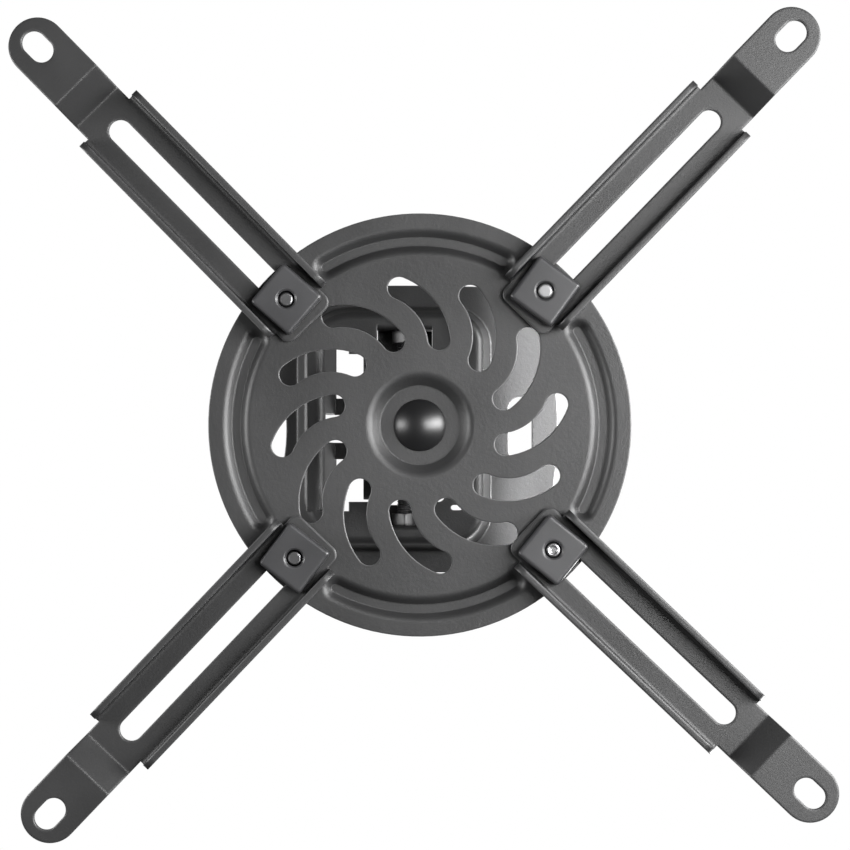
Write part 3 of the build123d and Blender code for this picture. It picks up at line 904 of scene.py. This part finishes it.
class MOUNT_OT_stage(bpy.types.Operator):
    """Set up the floor, the softboxes, the white room and the camera"""

    bl_idname = "mount.stage"
    bl_label = "Stage"

    def execute(self, context):
        studio = context.scene.mount_studio
        self.add_floor(studio)
        self.add_softbox("Right Softbox", studio.right_power, spot=(0.46, -0.07, -0.47), size=(0.30, 0.75))
        self.add_softbox("Low Softbox", studio.low_power, spot=(0.58, -0.08, -0.27), size=(0.22, 0.75))
        self.add_strip(
            "Rim Strip", studio.strip_power, target=(0.038, 0.0, -0.002), lean=math.radians(38),
            distance=0.3, size=(0.020, 0.10), spread=math.radians(3))
        self.add_softbox("Left Softbox", studio.left_power, spot=(-0.36, -0.02, -0.13), size=(0.12, 0.45))
        self.add_softbox("Top Softbox", studio.top_power, spot=(0.50, 0.45, 0.60), size=(0.5, 0.5))
        self.add_room(studio)
        self.add_camera(context, studio)
        context.scene.view_settings.view_transform = "Standard"
        return {"FINISHED"}

    def add_floor(self, studio):
        """A pale floor well below the mount, which the camera sees pale with the mount's shadow kept."""
        deselect()
        bpy.ops.mesh.primitive_plane_add(size=FLOOR_SIZE, location=(0, 0, -FLOOR_DROP))
        floor = name_new("studio_floor")
        material = bpy.data.materials.new("Floor")
        material.use_nodes = True
        tree = material.node_tree
        shader = tree.nodes["Principled BSDF"]
        shader.inputs["Base Color"].default_value = studio.floor_colour
        shader.inputs["Roughness"].default_value = FLOOR_ROUGHNESS
        plain = tree.nodes.new("ShaderNodeEmission")
        plain.inputs["Color"].default_value = studio.floor_colour
        path = tree.nodes.new("ShaderNodeLightPath")
        seen = add_math(tree, "MULTIPLY", path.outputs["Is Camera Ray"], studio.floor_shown)
        mix_shaders(tree, seen, shader.outputs["BSDF"], plain.outputs["Emission"], "Material Output")
        dress(floor, material)

    def add_area_light(self, name, power, spot, size, turn):
        """A rectangular area light on its spot, turned by three angles."""
        deselect()
        bpy.ops.object.light_add(type="AREA", location=spot)
        light = bpy.context.object
        light.name = name
        light.data.shape = "RECTANGLE"
        light.data.size, light.data.size_y = size
        light.data.energy = power
        light.rotation_euler = turn
        return light

    def add_softbox(self, name, power, spot, size):
        """A softbox that faces the spider plate."""
        aim = PLATE - Vector(spot)
        self.add_area_light(name, power, spot, size, aim.to_track_quat("-Z", "Y").to_euler())

    def add_strip(self, name, power, target, lean, distance, size, spread):
        """A narrow beam from the right that passes beside the spider plate."""
        back = Vector((math.sin(lean), 0, -math.cos(lean)))
        spot = Vector(target) + back * distance
        light = self.add_area_light(name, power, spot, size, (0, math.pi - lean, 0))
        light.data.spread = spread

    def add_background(self, tree, strength):
        """A white background shader of some strength."""
        background = tree.nodes.new("ShaderNodeBackground")
        background.inputs["Color"].default_value = WHITE
        background.inputs["Strength"].default_value = strength
        return background.outputs["Background"]

    def add_room(self, studio):
        """A white backdrop to the camera, a share of it to gloss, and a dim room to all else."""
        world = bpy.data.worlds.new("Studio")
        bpy.context.scene.world = world
        world.use_nodes = True
        tree = world.node_tree
        tree.nodes.remove(tree.nodes["Background"])
        shown = self.add_background(tree, 1.0)
        dim = self.add_background(tree, studio.room_light)
        path = tree.nodes.new("ShaderNodeLightPath")
        mirrored = add_math(tree, "MULTIPLY", path.outputs["Is Glossy Ray"], studio.gloss_room)
        seen = add_math(tree, "MAXIMUM", path.outputs["Is Camera Ray"], mirrored)
        seen = add_math(tree, "MAXIMUM", seen, path.outputs["Is Transmission Ray"])
        mix_shaders(tree, seen, dim, shown, "World Output")

    def add_camera(self, context, studio):
        """The camera looks straight up from beside the swivel axis, as in the photograph."""
        deselect()
        bpy.ops.object.camera_add(location=(0, studio.camera_side, -studio.camera_drop))
        camera = bpy.context.object
        camera.name = "Studio Camera"
        right, up, back = Vector((1, 0, 0)), Vector((0, -1, 0)), Vector((0, 0, -1))
        camera.rotation_euler = Matrix((right, up, back)).transposed().to_euler()
        tab_distance = studio.camera_drop + CAD_BOX[0][2]
        focal = studio.photo_scale * tab_distance / MM
        plate_rise = focal * studio.camera_side / (studio.camera_drop + PLATE.z)
        camera.data.sensor_width = SENSOR
        camera.data.lens = focal * SENSOR / IMAGE_SIDE
        camera.data.shift_x = (IMAGE_SIDE / 2 - studio.photo_x) / IMAGE_SIDE
        camera.data.shift_y = (studio.photo_y - IMAGE_SIDE / 2 + plate_rise) / IMAGE_SIDE
        camera.data.clip_end = VIEW_DISTANCE
        context.scene.camera = camera


class MOUNT_PT_panel(bpy.types.Panel):
    """Sizes, colours and steps of the mount"""

    bl_idname = "MOUNT_PT_panel"
    bl_label = "Projector Ceiling Mount"
    bl_space_type = "VIEW_3D"
    bl_region_type = "UI"
    bl_category = "Mount"

    def draw(self, context):
        for settings in SETTINGS:
            group = getattr(context.scene, settings)
            box = self.layout.box()
            for name in group.__annotations__:
                box.prop(group, name)
        for operator in OPERATORS:
            self.layout.operator(operator.bl_idname)


SETTINGS = {
    "mount_finish": MountFinish,
    "mount_hardware": MountHardware,
    "mount_studio": MountStudio,
}
OPERATORS = (
    MOUNT_OT_finishes,
    MOUNT_OT_swivel_bolt,
    MOUNT_OT_pivot_fasteners,
    MOUNT_OT_clamp_screws,
    MOUNT_OT_stage,
)


def register():
    """Make the settings, steps and panel known."""
    for name, settings in SETTINGS.items():
        bpy.utils.register_class(settings)
        setattr(bpy.types.Scene, name, bpy.props.PointerProperty(type=settings))
    for operator in OPERATORS:
        bpy.utils.register_class(operator)
    bpy.utils.register_class(MOUNT_PT_panel)


def unregister():
    """Take the panel, steps and settings away again."""
    bpy.utils.unregister_class(MOUNT_PT_panel)
    for operator in reversed(OPERATORS):
        bpy.utils.unregister_class(operator)
    for name, settings in reversed(SETTINGS.items()):
        delattr(bpy.types.Scene, name)
        bpy.utils.unregister_class(settings)


def main():
    """Build every piece and the stage."""
    register()
    bpy.ops.mount.finishes()
    bpy.ops.mount.swivel_bolt()
    bpy.ops.mount.pivot_fasteners()
    bpy.ops.mount.clamp_screws()
    bpy.ops.mount.stage()


if __name__ == "__main__":
    main()
